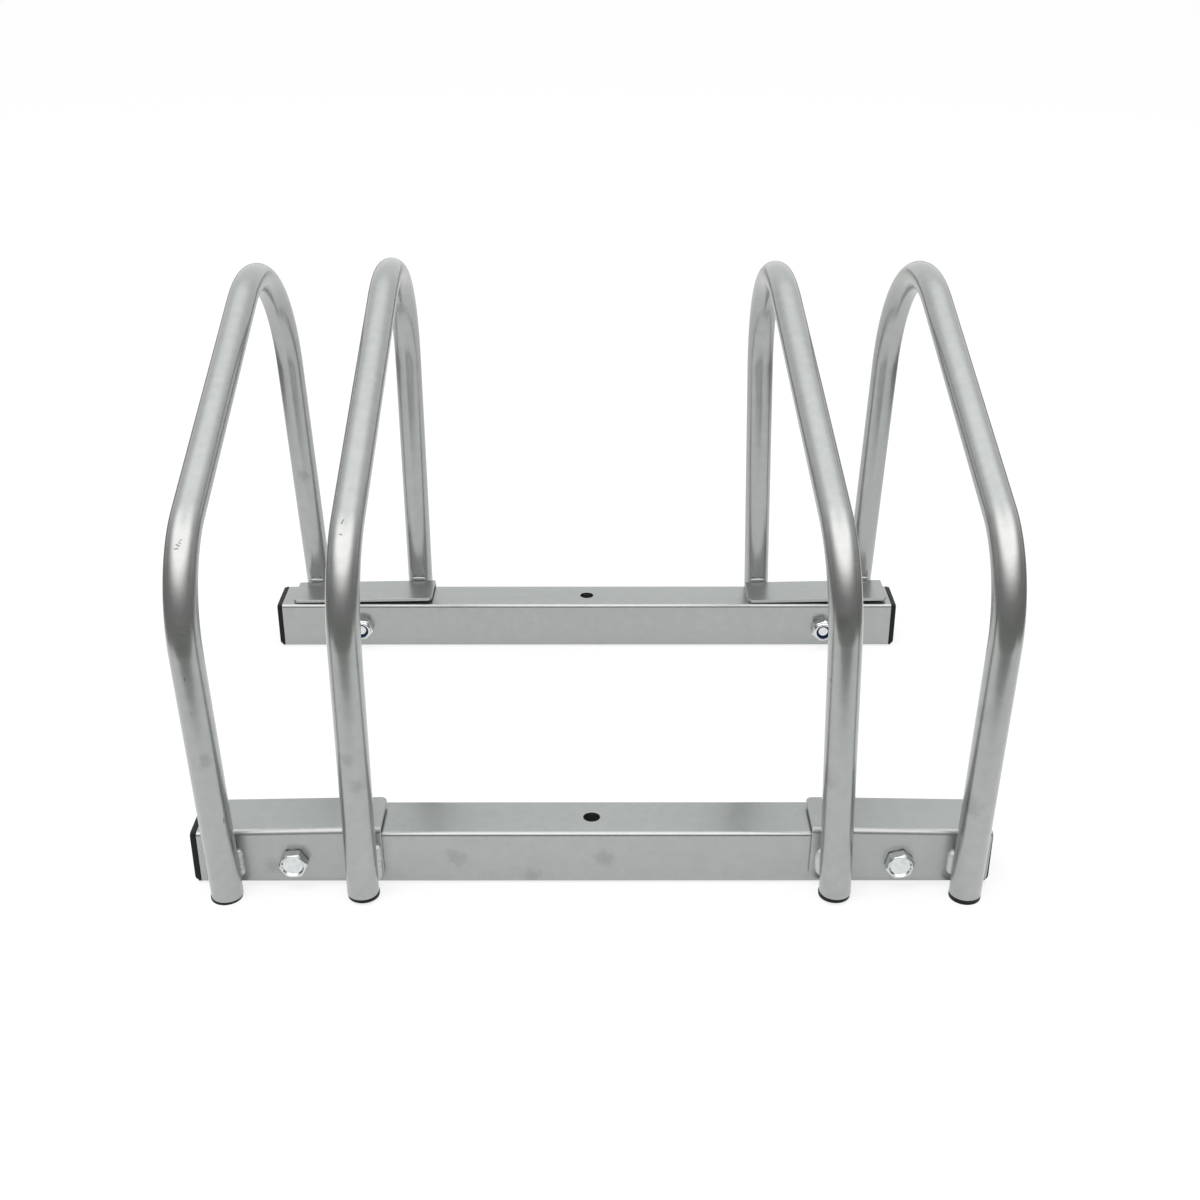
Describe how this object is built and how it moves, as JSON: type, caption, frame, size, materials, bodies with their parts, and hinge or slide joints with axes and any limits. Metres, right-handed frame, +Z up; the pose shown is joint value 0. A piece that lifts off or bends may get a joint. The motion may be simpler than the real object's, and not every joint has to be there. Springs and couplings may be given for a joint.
{
  "type": "floor bike stand",
  "caption": "Floor stand that holds parked bicycles upright by a wheel, with bent tube hoops in pairs bolted across square tube crossbars.",
  "frame": {"origin": "middle of the whole stand, on the floor that its feet rest on", "axes": "+X runs to the right along the crossbars, +Y to the back and +Z up, seen by someone who rolls a wheel in from the front"},
  "size_m": [0.4108, 0.3347, 0.2688],
  "materials": {
    "silver_powder_coat": "silver-grey metallic powder coat, satin",
    "black_plastic": "moulded, fine matte grain",
    "bright_zinc": "bright zinc plate",
    "blue_nylon": "dark blue nylon",
    "coated_weld": "weld bead under the powder coat"
  },
  "bodies": {
    "root": {"front_crossbar": "silver_powder_coat", "rear_crossbar": "silver_powder_coat", "front_left_end_cap": "black_plastic", "front_right_end_cap": "black_plastic", "rear_left_end_cap": "black_plastic", "rear_right_end_cap": "black_plastic", "left_outer_hoop": "silver_powder_coat", "left_inner_hoop": "silver_powder_coat", "right_inner_hoop": "silver_powder_coat", "right_outer_hoop": "silver_powder_coat", "left_front_bracket": "silver_powder_coat", "left_rear_bracket": "silver_powder_coat", "right_front_bracket": "silver_powder_coat", "right_rear_bracket": "silver_powder_coat", "left_outer_front_foot": "black_plastic", "left_outer_rear_foot": "black_plastic", "left_inner_front_foot": "black_plastic", "left_inner_rear_foot": "black_plastic", "right_inner_front_foot": "black_plastic", "right_inner_rear_foot": "black_plastic", "right_outer_front_foot": "black_plastic", "right_outer_rear_foot": "black_plastic", "left_front_bolt": "bright_zinc", "left_rear_bolt": "bright_zinc", "right_front_bolt": "bright_zinc", "right_rear_bolt": "bright_zinc", "left_front_lock_nut": "bright_zinc", "left_rear_lock_nut": "bright_zinc", "right_front_lock_nut": "bright_zinc", "right_rear_lock_nut": "bright_zinc", "left_front_nut_insert": "blue_nylon", "left_rear_nut_insert": "blue_nylon", "right_front_nut_insert": "blue_nylon", "right_rear_nut_insert": "blue_nylon", "left_outer_front_weld_left": "coated_weld", "left_outer_front_weld_right": "coated_weld", "left_outer_rear_weld_left": "coated_weld", "left_outer_rear_weld_right": "coated_weld", "left_outer_rear_weld_top": "coated_weld", "left_inner_front_weld_left": "coated_weld", "left_inner_front_weld_right": "coated_weld", "left_inner_rear_weld_left": "coated_weld", "left_inner_rear_weld_right": "coated_weld", "left_inner_rear_weld_top": "coated_weld", "right_inner_front_weld_left": "coated_weld", "right_inner_front_weld_right": "coated_weld", "right_inner_rear_weld_left": "coated_weld", "right_inner_rear_weld_right": "coated_weld", "right_inner_rear_weld_top": "coated_weld", "right_outer_front_weld_left": "coated_weld", "right_outer_front_weld_right": "coated_weld", "right_outer_rear_weld_left": "coated_weld", "right_outer_rear_weld_right": "coated_weld", "right_outer_rear_weld_top": "coated_weld"}
  },
  "joints": []
}
